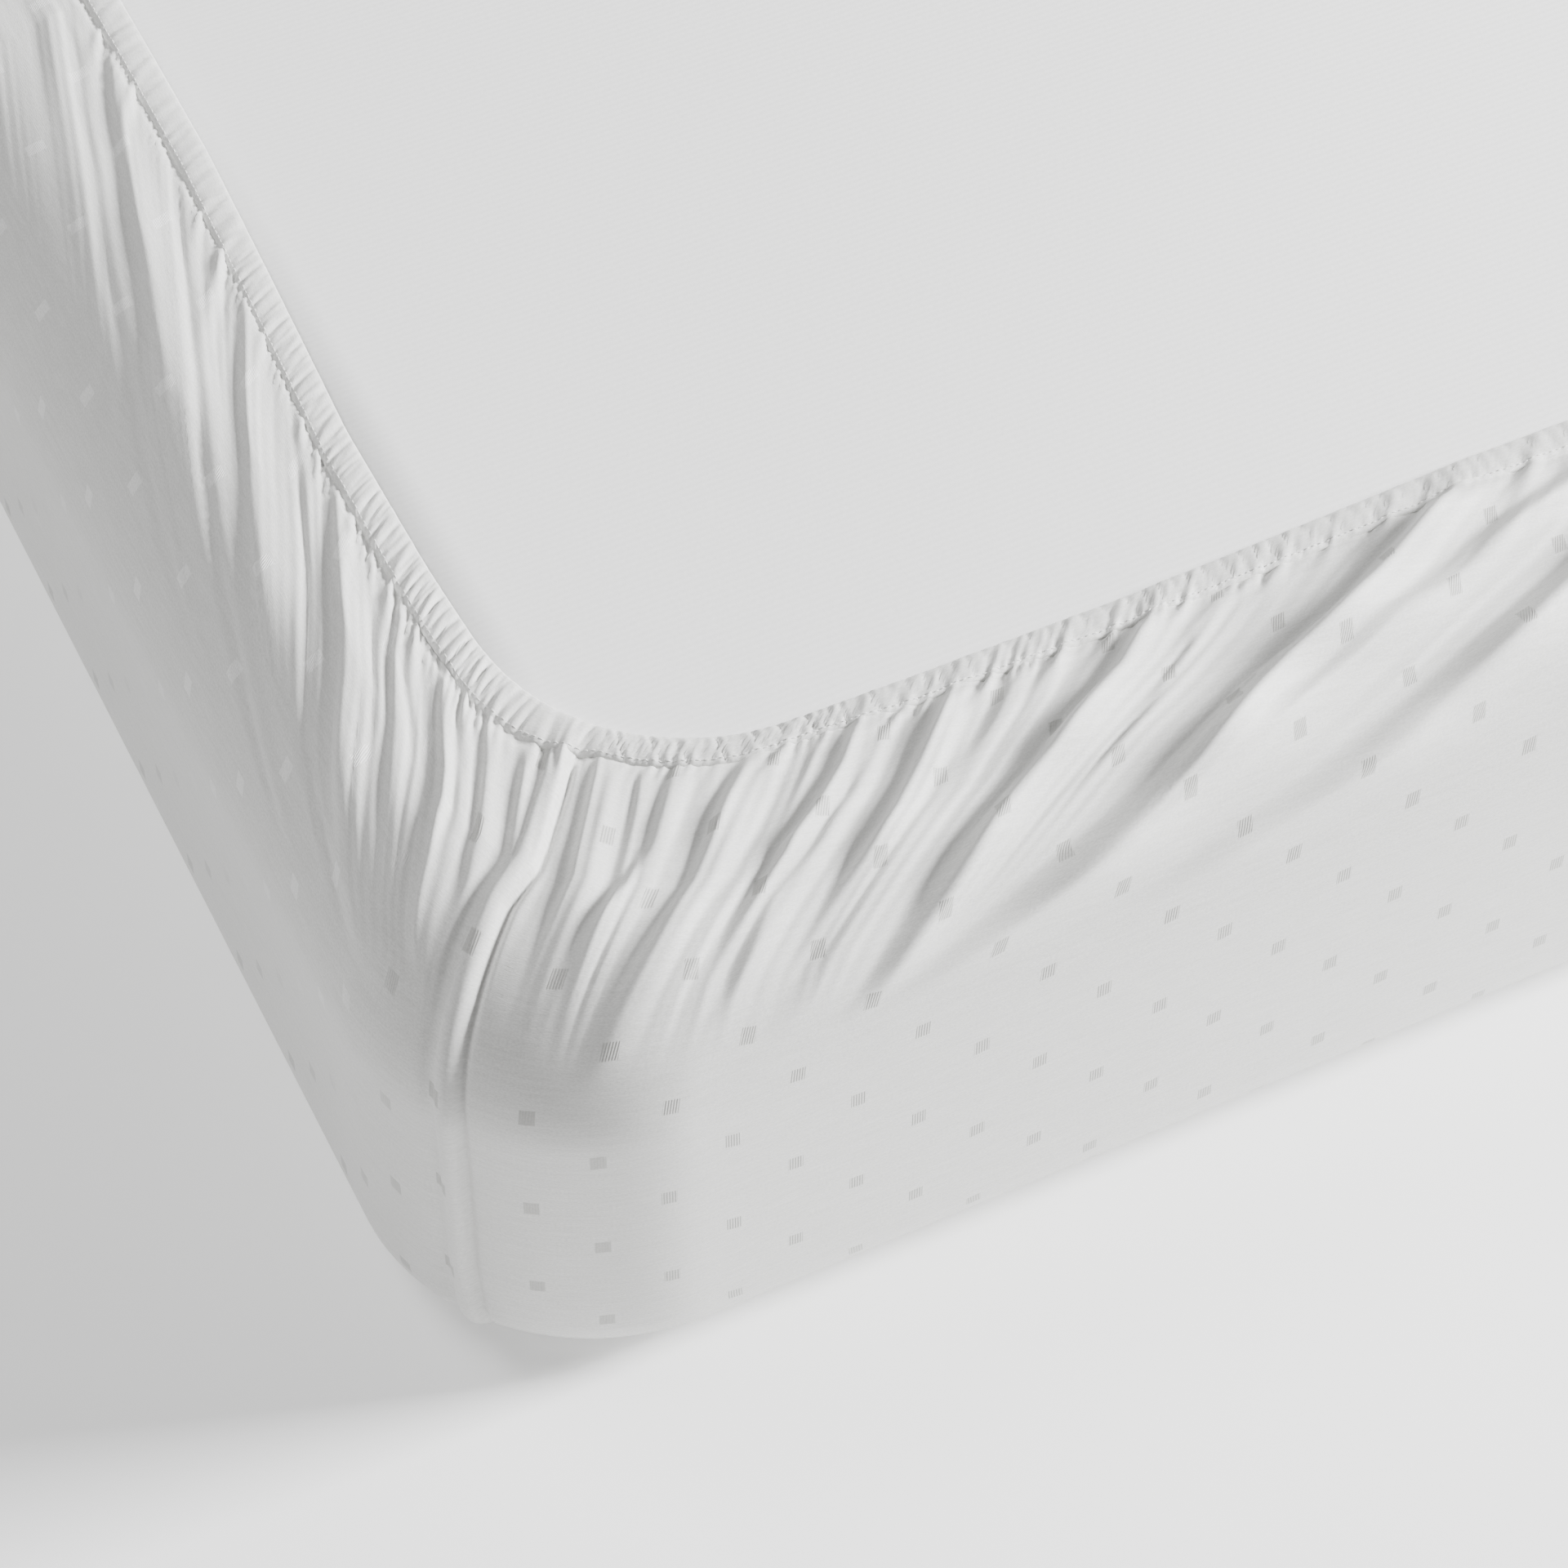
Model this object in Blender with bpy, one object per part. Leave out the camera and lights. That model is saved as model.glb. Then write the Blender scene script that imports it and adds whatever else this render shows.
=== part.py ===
"""Fitted sheet drawn over an upturned mattress, elastic side up.

The sheet is one closed thin solid: a flat panel on the floor, rounded bottom edges,
four sides, soft shoulders and a flap turned in over the mattress, which ends in a
gathered hem round a large opening. The mattress is a plain rounded block inside it.
Metres, +Z up. The origin is on the floor under the middle of the sheet, +X is the length.
"""
import math

import bpy
import numpy as np

# The mattress with the sheet on it
LENGTH = 2.00
WIDTH = 1.40
FLAP_HEIGHT = 0.195
CORNER_RADIUS = 0.095
BOTTOM_EDGE_RADIUS = 0.030
SHOULDER_RADIUS = 0.055

# The flap: how far the hem's inner edge lies from the end faces and from the long sides
# near the corners, and how much further in it is at the middle of each
FLAP_END = 0.093
FLAP_SIDE = 0.112
HEM_CORNER_RADIUS = 0.092
HEM_WAIST_END = 0.0195
HEM_WAIST_SIDE = 0.012
HEM_WIDTH = 0.014
HEM_THICKNESS = 0.005

CLOTH = 0.0020
CLEARANCE = 0.0022
FOLD_FOOT = 0.110

# Columns of the sheet from a corner seam to the middle of a side: first step and growth
FIRST_STEP = 0.020
SIDE_COLUMNS = 24
END_COLUMNS = 20
MATTRESS_ARC_COLUMNS = 5

# How much closer together the folds run on the side than at the hem, near a corner
SPREAD_AT_CORNER = 0.35

# Main folds along half of a long side: place from the corner seam, breadth, height
SIDE_FOLDS = [
    {"place": 0.055, "breadth": 0.042, "height": 0.0045},
    {"place": 0.102, "breadth": 0.042, "height": 0.0050},
    {"place": 0.145, "breadth": 0.046, "height": 0.0050},
    {"place": 0.225, "breadth": 0.070, "height": 0.0060},
    {"place": 0.350, "breadth": 0.095, "height": 0.0075},
    {"place": 0.480, "breadth": 0.110, "height": 0.0065},
    {"place": 0.620, "breadth": 0.120, "height": 0.0055},
    {"place": 0.760, "breadth": 0.130, "height": 0.0040},
]

# Main folds along half of an end
END_FOLDS = [
    {"place": 0.045, "breadth": 0.040, "height": 0.0040},
    {"place": 0.082, "breadth": 0.042, "height": 0.0050},
    {"place": 0.122, "breadth": 0.044, "height": 0.0050},
    {"place": 0.190, "breadth": 0.060, "height": 0.0060},
    {"place": 0.290, "breadth": 0.080, "height": 0.0065},
    {"place": 0.385, "breadth": 0.080, "height": 0.0050},
    {"place": 0.475, "breadth": 0.090, "height": 0.0060},
]

# The four corners, anticlockwise, each with its own spacing and strength of folds
CORNERS = [
    {"x": -1, "y": -1, "spacing": 1.00, "strength": 1.00},
    {"x": 1, "y": -1, "spacing": 1.07, "strength": 0.90},
    {"x": 1, "y": 1, "spacing": 0.95, "strength": 1.05},
    {"x": -1, "y": 1, "spacing": 1.04, "strength": 0.95},
]

SHEET_COLOUR = (0.72, 0.73, 0.70)
MATTRESS_COLOUR = (0.86, 0.86, 0.85)


def clear_scene():
    for thing in list(bpy.data.objects):
        bpy.data.objects.remove(thing, do_unlink=True)


def make_material(name, colour, roughness):
    material = bpy.data.materials.new(name)
    material.use_nodes = True
    shader = material.node_tree.nodes["Principled BSDF"]
    shader.inputs["Base Color"].default_value = (*colour, 1.0)
    shader.inputs["Roughness"].default_value = roughness
    shader.inputs["Metallic"].default_value = 0.0
    return material


def arc_row(radius, degrees, base_height, lean, folds):
    """A row on a rounded edge: its inset, height and tilt follow a quarter circle."""
    angle = math.radians(degrees)
    return {
        "end": radius * (1.0 - math.cos(angle)),
        "side": radius * (1.0 - math.cos(angle)),
        "height": base_height + radius * math.sin(angle),
        "tilt": angle,
        "lean": lean,
        "folds": folds,
    }


def flap_row(share, lean, folds):
    """A row on the flat flap, share of the way from the shoulder to the hem's stitching."""
    return {
        "end": SHOULDER_RADIUS + share * (FLAP_END - HEM_WIDTH - SHOULDER_RADIUS),
        "side": SHOULDER_RADIUS + share * (FLAP_SIDE - HEM_WIDTH - SHOULDER_RADIUS),
        "height": FLAP_HEIGHT,
        "tilt": math.pi / 2,
        "lean": lean,
        "folds": folds,
    }


def hem_row(share, rise):
    """A row on the hem, share of its width in from the stitching and raised by rise."""
    row = flap_row(1.0, 1.0, 0.0)
    row["end"] += share * HEM_WIDTH
    row["side"] += share * HEM_WIDTH
    row["height"] += rise
    return row


def sheet_rows():
    """Rows of the sheet's outer face, from the floor up and in to the hem."""
    shoulder_base = FLAP_HEIGHT - SHOULDER_RADIUS
    rows = [
        arc_row(BOTTOM_EDGE_RADIUS, -90, BOTTOM_EDGE_RADIUS, 0.0, 0.0),
        arc_row(BOTTOM_EDGE_RADIUS, -45, BOTTOM_EDGE_RADIUS, 0.0, 0.0),
        arc_row(BOTTOM_EDGE_RADIUS, 0, BOTTOM_EDGE_RADIUS, 0.0, 0.0),
        arc_row(SHOULDER_RADIUS, 0, FOLD_FOOT, 0.0, 0.0),
        arc_row(SHOULDER_RADIUS, 0, shoulder_base, 0.12, 0.25),
        arc_row(SHOULDER_RADIUS, 30, shoulder_base, 0.20, 0.55),
        arc_row(SHOULDER_RADIUS, 60, shoulder_base, 0.28, 0.85),
        arc_row(SHOULDER_RADIUS, 90, shoulder_base, 0.38, 1.00),
        flap_row(0.5, 0.70, 1.00),
        flap_row(1.0, 1.00, 0.30),
    ]
    return rows


def hem_rows():
    """Rows of the hem's rolled lip, over its crest and round its inner edge."""
    lift = HEM_THICKNESS - CLOTH
    return [hem_row(0.35, lift), hem_row(0.85, lift), hem_row(1.0, 0.5 * lift)]


def mattress_rows():
    """Rows of the mattress, which follow the sheet's rounded edges."""
    shoulder_base = FLAP_HEIGHT - SHOULDER_RADIUS
    bottom = [arc_row(BOTTOM_EDGE_RADIUS, turn, BOTTOM_EDGE_RADIUS, 0.0, 0.0) for turn in (-90, -45, 0)]
    top = [arc_row(SHOULDER_RADIUS, turn, shoulder_base, 0.0, 0.0) for turn in (0, 30, 60, 90)]
    return bottom + top


def ring(row, inward):
    """Half sizes and corner radius of the rounded rectangle that a row follows in plan."""
    share = row["side"] / FLAP_SIDE
    pull = inward * math.cos(row["tilt"])
    half_length = LENGTH / 2 - row["end"] - pull
    half_width = WIDTH / 2 - row["side"] - pull
    radius = CORNER_RADIUS + share * (HEM_CORNER_RADIUS - CORNER_RADIUS) - pull
    return half_length, half_width, radius


def half_side(row, corner, along, places, inward):
    """Points of a row from a corner's seam to the middle of a side, as an array.

    places run from 0 at the seam to 1 at the middle, at the hem. Lower down they are
    drawn towards the corner, so that each column leans as a fold does. A point is
    inward of the outer face by the given distance, measured square to the cloth.
    """
    half_length, half_width, radius = ring(row, inward)
    centre_x = half_length - radius
    centre_y = half_width - radius
    run = centre_x if along == "x" else centre_y
    total = radius * math.pi / 4 + run
    drawn = SPREAD_AT_CORNER * places + (1.0 - SPREAD_AT_CORNER) * places**3
    reach = total * (row["lean"] * places + (1.0 - row["lean"]) * drawn)
    turn = np.minimum(reach / radius, math.pi / 4)
    past = np.maximum(reach - radius * math.pi / 4, 0.0)
    angle = math.pi / 4 + turn if along == "x" else math.pi / 4 - turn
    x = centre_x + radius * np.cos(angle) - (past if along == "x" else 0.0)
    y = centre_y + radius * np.sin(angle) - (past if along == "y" else 0.0)
    share = row["side"] / FLAP_SIDE
    waist_x = 1.0 - share * HEM_WAIST_END / (LENGTH / 2) * (1.0 - (2 * y / WIDTH) ** 2)
    waist_y = 1.0 - share * HEM_WAIST_SIDE / (WIDTH / 2) * (1.0 - (2 * x / LENGTH) ** 2)
    height = np.full_like(x, row["height"] - inward * math.sin(row["tilt"]))
    outward = np.stack([np.cos(angle) * corner["x"], np.sin(angle) * corner["y"]], axis=1)
    points = np.stack([x * waist_x * corner["x"], y * waist_y * corner["y"], height], axis=1)
    return points, outward


def fold_relief(corner, along, places):
    """Height of the folds above the plain cloth for each place along half a side.

    Each fold is a smooth cosine ridge of its own breadth; where two meet the higher one holds.
    """
    table = SIDE_FOLDS if along == "x" else END_FOLDS
    half_length, half_width, radius = ring(flap_row(1.0, 1.0, 0.0), 0.0)
    run = half_length - radius if along == "x" else half_width - radius
    distance = places * (radius * math.pi / 4 + run)
    relief = np.zeros_like(places)
    for fold in table:
        offset = (distance - fold["place"] * corner["spacing"]) / (fold["breadth"] / 2)
        ridge = np.where(np.abs(offset) < 1.0, 0.5 + 0.5 * np.cos(math.pi * offset), 0.0)
        relief = np.maximum(relief, ridge * fold["height"] * corner["strength"])
    return relief


def loop_points(row, inward, side_places, end_places):
    """One closed ring of points, anticlockwise from above, from the middle of the -X end."""
    pieces = []
    for number, corner in enumerate(CORNERS):
        first, second = ("x", "y") if number % 2 else ("y", "x")
        for along, backwards in ((first, True), (second, False)):
            places = side_places if along == "x" else end_places
            places = places[:0:-1] if backwards else places[:-1]
            points, outward = half_side(row, corner, along, places, inward)
            relief = fold_relief(corner, along, places) * row["folds"]
            points[:, :2] += outward * (relief * math.cos(row["tilt"]))[:, None]
            points[:, 2] += relief * math.sin(row["tilt"])
            pieces.append(points)
    return np.concatenate(pieces)


def growing_places(count, total):
    """Places from 0 to 1 whose first step is FIRST_STEP long and whose steps grow evenly."""
    steps = np.arange(count + 1)
    growth = (total - FIRST_STEP * count) / count**2
    return (FIRST_STEP * steps + growth * steps**2) / total


def mattress_places(run):
    """Places for the mattress: an even split of the corner's arc, then one straight run."""
    arc = CORNER_RADIUS * math.pi / 4
    share = arc / (arc + run)
    straight = np.linspace(share, 1.0, 5)[1:]
    return np.concatenate([np.linspace(0.0, share, MATTRESS_ARC_COLUMNS + 1), straight])


def undo_draw(places):
    """The places at the hem whose drawn places at the floor are the given ones."""
    table = np.linspace(0.0, 1.0, 2001)
    return np.interp(places, SPREAD_AT_CORNER * table + (1.0 - SPREAD_AT_CORNER) * table**3, table)


def mesh_object(name, rings, material):
    """Join rings of equal length with quads and close the first and the last with one face."""
    count = len(rings[0])
    vertices = np.concatenate(rings)
    faces = []
    for row in range(len(rings) - 1):
        low = row * count
        high = low + count
        for column in range(count):
            after = (column + 1) % count
            faces.append((low + column, low + after, high + after, high + column))
    faces.append(tuple(reversed(range(count))))
    faces.append(tuple(range((len(rings) - 1) * count, len(rings) * count)))
    mesh = bpy.data.meshes.new(name)
    mesh.from_pydata(vertices.tolist(), [], faces)
    mesh.validate()
    mesh.shade_smooth()
    mesh.set_sharp_from_angle(angle=math.radians(40))
    mesh.materials.append(material)
    thing = bpy.data.objects.new(name, mesh)
    bpy.context.scene.collection.objects.link(thing)
    return thing


def build_sheet():
    hem_half_length, hem_half_width, radius = ring(hem_row(1.0, 0.0), 0.0)
    arc = radius * math.pi / 4
    side_places = growing_places(SIDE_COLUMNS, arc + hem_half_length - radius)
    end_places = growing_places(END_COLUMNS, arc + hem_half_width - radius)
    outer = [loop_points(row, 0.0, side_places, end_places) for row in sheet_rows()]
    lip = [loop_points(row, 0.0, side_places, end_places) for row in hem_rows()]
    under = hem_row(0.95, -CLOTH)
    inner = [loop_points(under, 0.0, side_places, end_places)]
    inner += [loop_points(row, CLOTH, side_places, end_places) for row in reversed(sheet_rows())]
    material = make_material("sateen", SHEET_COLOUR, 0.6)
    return mesh_object("fitted_sheet", outer + lip + inner, material)


def build_mattress():
    side_places = undo_draw(mattress_places(LENGTH / 2 - CORNER_RADIUS))
    end_places = undo_draw(mattress_places(WIDTH / 2 - CORNER_RADIUS))
    inward = CLOTH + CLEARANCE
    rings = [loop_points(row, inward, side_places, end_places) for row in mattress_rows()]
    material = make_material("ticking", MATTRESS_COLOUR, 0.8)
    return mesh_object("mattress", rings, material)


clear_scene()
build_sheet()
build_mattress()
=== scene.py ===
"""A fitted sheet drawn over an upturned mattress, seen at one gathered corner.

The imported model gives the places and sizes. Lengths are in metres and +Z is up.
"""
import math

import bpy
import numpy as np
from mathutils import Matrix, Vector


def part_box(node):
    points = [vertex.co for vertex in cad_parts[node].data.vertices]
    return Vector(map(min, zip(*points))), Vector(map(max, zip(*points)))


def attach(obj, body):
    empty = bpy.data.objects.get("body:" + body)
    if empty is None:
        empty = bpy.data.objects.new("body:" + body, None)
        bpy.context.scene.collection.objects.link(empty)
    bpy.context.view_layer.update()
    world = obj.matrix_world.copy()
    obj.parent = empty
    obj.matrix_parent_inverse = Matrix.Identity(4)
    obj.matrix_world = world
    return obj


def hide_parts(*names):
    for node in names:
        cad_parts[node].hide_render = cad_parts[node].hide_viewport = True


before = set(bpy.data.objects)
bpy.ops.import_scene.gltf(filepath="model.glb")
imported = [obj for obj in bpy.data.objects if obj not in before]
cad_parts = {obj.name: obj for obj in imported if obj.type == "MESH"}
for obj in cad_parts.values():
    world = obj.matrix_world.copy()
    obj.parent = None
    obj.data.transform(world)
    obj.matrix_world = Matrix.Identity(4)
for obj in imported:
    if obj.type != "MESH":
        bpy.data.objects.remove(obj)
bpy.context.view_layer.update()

# ---------------------------------------------------------------- camera
# A long lens looks down on the corner where the long side and an end meet,
# so both sides, the turned-in flap and the hem's round corner are seen at once.
VIEW_TURN = 26.03
VIEW_DROP = 50.4
VIEW_DISTANCE = 1.67
LENS_MM = 100.0
sheet_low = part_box("fitted_sheet")[0]
aim = (sheet_low[0] + 0.2082, sheet_low[1] + 0.1607, 0.100)


def place_camera():
    """The camera stands VIEW_DISTANCE back from the aim, along its own line of sight."""
    turn, drop = math.radians(VIEW_TURN), math.radians(VIEW_DROP)
    sight = (math.cos(drop) * math.sin(turn), math.cos(drop) * math.cos(turn), -math.sin(drop))
    data = bpy.data.cameras.new("camera")
    data.lens = LENS_MM
    data.sensor_width = 36.0
    data.dof.use_dof = False
    camera = bpy.data.objects.new("camera", data)
    camera.location = [a - VIEW_DISTANCE * s for a, s in zip(aim, sight)]
    camera.rotation_euler = (math.pi / 2 - drop, 0.0, -turn)
    bpy.context.scene.collection.objects.link(camera)
    bpy.context.scene.camera = camera


place_camera()

# ---------------------------------------------------------------- mattress
# A foam block in a white knitted cover, lying on its sleeping face. Only the middle of
# its underside shows, framed by the sheet's hem, and it swells a little there.
CLOTH_AND_GAP = 0.0042
CORNER_RADIUS = 0.095
HEM_CORNER_RADIUS = 0.092
BOTTOM_RADIUS = 0.030
SHOULDER_RADIUS = 0.055
FLAP_END = 0.093
FLAP_SIDE = 0.112
HEM_WAIST_END = 0.0195
HEM_WAIST_SIDE = 0.012
CORNERS = [
    {"x": -1, "y": -1, "spacing": 1.00, "strength": 1.00},
    {"x": 1, "y": -1, "spacing": 1.07, "strength": 0.90},
    {"x": 1, "y": 1, "spacing": 0.95, "strength": 1.05},
    {"x": -1, "y": 1, "spacing": 1.04, "strength": 0.95},
]
mattress_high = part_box("mattress")[1]
half_length = mattress_high[0] + CLOTH_AND_GAP
half_width = mattress_high[1] + CLOTH_AND_GAP
flap_height = mattress_high[2] + CLOTH_AND_GAP
quarter = math.pi / 4


def smooth(t):
    """Rises from 0 to 1 as t does, with a level start and end."""
    t = np.clip(t, 0.0, 1.0)
    return t * t * (3.0 - 2.0 * t)


def half_of_side(corner, along_x, places, end, side, inward):
    """Plan of half a side, from a corner's seam at place 0 to the side's middle at place 1.

    The row follows a rounded rectangle set in by end and side. Its corner is an arc from
    the diagonal, then the run is straight, and the rows near the hem draw in at the waist.
    """
    share = side / FLAP_SIDE
    radius = CORNER_RADIUS + share * (HEM_CORNER_RADIUS - CORNER_RADIUS) - inward
    centre_x = half_length - end - inward - radius
    centre_y = half_width - side - inward - radius
    total = radius * quarter + (centre_x if along_x else centre_y)
    reach = total * places
    turn = np.minimum(reach / radius, quarter)
    past = np.maximum(reach - radius * quarter, 0.0)
    angle = quarter + turn if along_x else quarter - turn
    x = centre_x + radius * np.cos(angle) - (past if along_x else 0.0)
    y = centre_y + radius * np.sin(angle) - (0.0 if along_x else past)
    waist_x = 1.0 - share * HEM_WAIST_END / half_length * (1.0 - (y / half_width) ** 2)
    waist_y = 1.0 - share * HEM_WAIST_SIDE / half_width * (1.0 - (x / half_length) ** 2)
    plan = np.stack([x * waist_x * corner["x"], y * waist_y * corner["y"]], axis=-1)
    outward = np.stack([np.cos(angle) * corner["x"], np.sin(angle) * corner["y"]], axis=-1)
    return plan, outward, reach, total


def halves():
    """The eight half sides, anticlockwise: corner, whether it runs along X, and its direction."""
    for number, corner in enumerate(CORNERS):
        first_along_x = number % 2 == 1
        yield corner, first_along_x, True
        yield corner, not first_along_x, False


def patch_mesh(name, patches, ends_capped, wraps=False):
    """One mesh from the eight patches of points, each rows by columns, that share end columns.

    The last column of a patch is the first of the next. Each patch also carries its own
    UV array, so that the pattern can jump at a corner seam.
    """
    starts = np.cumsum([0] + [patch["points"].shape[1] - 1 for patch in patches])
    width, rows = starts[-1], patches[0]["points"].shape[0]
    vertices = np.concatenate([patch["points"][:, :-1] for patch in patches], axis=1)
    faces, corners_uv = [], []
    row_pairs = rows if wraps else rows - 1
    for patch, start in zip(patches, starts):
        columns = (start + np.arange(patch["points"].shape[1])) % width
        index = np.arange(rows)[:, None] * width + columns[None, :]
        uv = patch["uv"]
        above = (np.arange(row_pairs) + 1) % rows
        quad = [index[:row_pairs, :-1], index[:row_pairs, 1:], index[above, 1:], index[above, :-1]]
        spot = [uv[:row_pairs, :-1], uv[:row_pairs, 1:], uv[above, 1:], uv[above, :-1]]
        faces.append(np.stack(quad, axis=-1).reshape(-1, 4))
        corners_uv.append(np.stack(spot, axis=2).reshape(-1, 2))
    faces = np.concatenate(faces)
    corners_uv = np.concatenate(corners_uv)
    polygons = faces.tolist()
    for cap in ends_capped:
        ring = np.arange(width) + (0 if cap == "first" else (rows - 1) * width)
        ring = ring[::-1] if cap == "first" else ring
        polygons.append(ring.tolist())
        corners_uv = np.concatenate([corners_uv, vertices.reshape(-1, 3)[ring, :2]])
    mesh = bpy.data.meshes.new(name)
    mesh.from_pydata(vertices.reshape(-1, 3).tolist(), [], polygons)
    layer = mesh.uv_layers.new(name="cloth")
    layer.data.foreach_set("uv", corners_uv.astype(np.float32).ravel())
    mesh.shade_smooth()
    mesh.update()
    thing = bpy.data.objects.new(name, mesh)
    bpy.context.scene.collection.objects.link(thing)
    return thing


def edge_profile(run, bottom_radius, shoulder_radius, top):
    """Inset, height and tilt of the cloth a distance run up from where it leaves the floor.

    A quarter circle leaves the floor, a straight side follows, then a quarter circle turns
    in over the shoulder and the flap lies level.
    """
    low_arc = bottom_radius * math.pi / 2
    side_end = low_arc + top - shoulder_radius - bottom_radius
    high_arc = shoulder_radius * math.pi / 2
    low = np.clip(run / bottom_radius, 0.0, math.pi / 2)
    high = np.clip((run - side_end) / shoulder_radius, 0.0, math.pi / 2)
    straight = np.clip(run - low_arc, 0.0, side_end - low_arc)
    level = np.maximum(run - side_end - high_arc, 0.0)
    inset = bottom_radius * (1.0 - np.sin(low)) + shoulder_radius * (1.0 - np.cos(high)) + level
    height = bottom_radius * (1.0 - np.cos(low)) + straight + shoulder_radius * np.sin(high)
    return inset, height, low - math.pi / 2 + high


side_end = BOTTOM_RADIUS * math.pi / 2 + flap_height - SHOULDER_RADIUS - BOTTOM_RADIUS
flap_start = side_end + SHOULDER_RADIUS * math.pi / 2


def build_mattress():
    """Rows climb the side, turn over the shoulder and close on the swelling underside."""
    run = np.concatenate([np.linspace(0.0, side_end, 9), np.linspace(side_end, flap_start, 7)[1:]])
    inset, height, tilt = edge_profile(run, BOTTOM_RADIUS, SHOULDER_RADIUS, flap_height)
    shrink = np.array([0.05, 0.09, 0.15, 0.23, 0.33, 0.45])
    inset = np.concatenate([inset, shrink])[:, None]
    height = np.concatenate([height, np.full(shrink.size, flap_height)])[:, None]
    tilt = np.concatenate([tilt, np.full(shrink.size, math.pi / 2)])[:, None]
    share_in = smooth((inset - 0.05) / 0.45)
    patches = []
    for corner, along_x, backwards in halves():
        places = np.concatenate([np.linspace(0.0, 0.12, 9), np.linspace(0.12, 1.0, 20)[1:]])
        places = places[::-1] if backwards else places
        inward = CLOTH_AND_GAP * np.cos(tilt)
        edge = np.minimum(inset, 0.03)
        plan, _, _, _ = half_of_side(corner, along_x, places[None, :], edge, edge, inward)
        closing = 1.0 - (inset - edge) / half_width
        plan = plan * closing[..., None]
        level = height - CLOTH_AND_GAP * np.sin(tilt) + 0.004 * share_in
        points = np.concatenate([plan, (level + 0.0 * places[None, :])[..., None]], axis=-1)
        patches.append({"points": points, "uv": points[..., :2]})
    return patch_mesh("mattress_block", patches, ("first", "last"))


def linear(code):
    """An sRGB hex colour as linear red, green, blue and alpha."""
    parts = [int(code[place : place + 2], 16) / 255 for place in (1, 3, 5)]
    return [part / 12.92 if part <= 0.04045 else ((part + 0.055) / 1.055) ** 2.4 for part in parts] + [1.0]


def add(tree, kind, settings=None, **inputs):
    """A node of that kind with its settings; each input is a value or another node's output.

    An input is named after its socket, or in0, in1 and so on after the socket's number.
    """
    node = tree.nodes.new(kind)
    for name, value in (settings or {}).items():
        setattr(node, name, value)
    for name, value in inputs.items():
        numbered = name.startswith("in") and name[2:].isdigit()
        socket = node.inputs[int(name[2:]) if numbered else name.replace("_", " ")]
        if isinstance(value, bpy.types.NodeSocket):
            tree.links.new(value, socket)
        else:
            socket.default_value = value
    return node


def calculate(tree, kind, operation, first, second):
    """The output of a math or vector math node on two inputs."""
    return add(tree, kind, {"operation": operation}, in0=first, in1=second).outputs[0]


def new_material(name, roughness, sheen, sheen_roughness):
    """A Principled material and its node tree and shader."""
    material = bpy.data.materials.new(name)
    material.use_nodes = True
    tree = material.node_tree
    shader = tree.nodes["Principled BSDF"]
    shader.inputs["Roughness"].default_value = roughness
    shader.inputs["Sheen Weight"].default_value = sheen
    shader.inputs["Sheen Roughness"].default_value = sheen_roughness
    return material, tree, shader


def knitted_cover():
    """Cotton jersey, bleached white: upright wales 1.6 mm apart give a soft, faintly ribbed face."""
    material, tree, shader = new_material("bleached_jersey_knit", 0.85, 0.2, 0.5)
    place = add(tree, "ShaderNodeTexCoord").outputs["Object"]
    wales = add(tree, "ShaderNodeTexWave", {"bands_direction": "Y"},
                Vector=place, Scale=100.0, Distortion=1.0).outputs["Fac"]
    courses = add(tree, "ShaderNodeTexNoise", Vector=place, Scale=420.0, Detail=2.0).outputs["Fac"]
    both = calculate(tree, "ShaderNodeMath", "ADD", wales, courses)
    tone = add(tree, "ShaderNodeMapRange", Value=both, From_Min=0.0, From_Max=2.0)
    tint = add(tree, "ShaderNodeMix", {"data_type": "RGBA"}, in0=tone.outputs[0])
    tint.inputs[6].default_value = linear("#f8f8f7")
    tint.inputs[7].default_value = linear("#fdfdfd")
    bump = add(tree, "ShaderNodeBump", Strength=0.2, Distance=0.0003, Height=both)
    tree.links.new(tint.outputs[2], shader.inputs["Base Color"])
    tree.links.new(bump.outputs[0], shader.inputs["Normal"])
    return material


mattress = build_mattress()
mattress.data.materials.append(knitted_cover())
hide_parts("mattress")
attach(mattress, "root")

# ---------------------------------------------------------------- sheet cloth
# One cut of cotton sateen with woven dots, its four corners sewn, drawn over the block.
# It lies flat under the block, climbs the sides taut and turns in over the shoulder, where
# the elastic pulls it into folds that lean toward each corner seam. It is sewn to the hem.
# Hem lines: place along the row (cm), then how far in the stitching and the hem's free
# edge lie, as shares of the flap's depth.
HEM_ON_SIDE = [
    (0, 0.905, 1.0), (3, 0.903, 1.0), (8, 0.901, 0.993), (12, 0.868, 0.982), (21, 0.854, 0.973),
    (35, 0.875, 1.0),
]
HEM_ON_END = [
    (0, 0.905, 1.0), (2.5, 0.865, 1.0), (6, 0.854, 1.0), (11, 0.82, 0.966), (19, 0.807, 0.944),
    (36, 0.865, 1.0),
]
# The tables below measure up the cloth as if the shoulder turned in a tight 30 mm arc.
TIGHT_SHOULDER = 0.030
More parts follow.
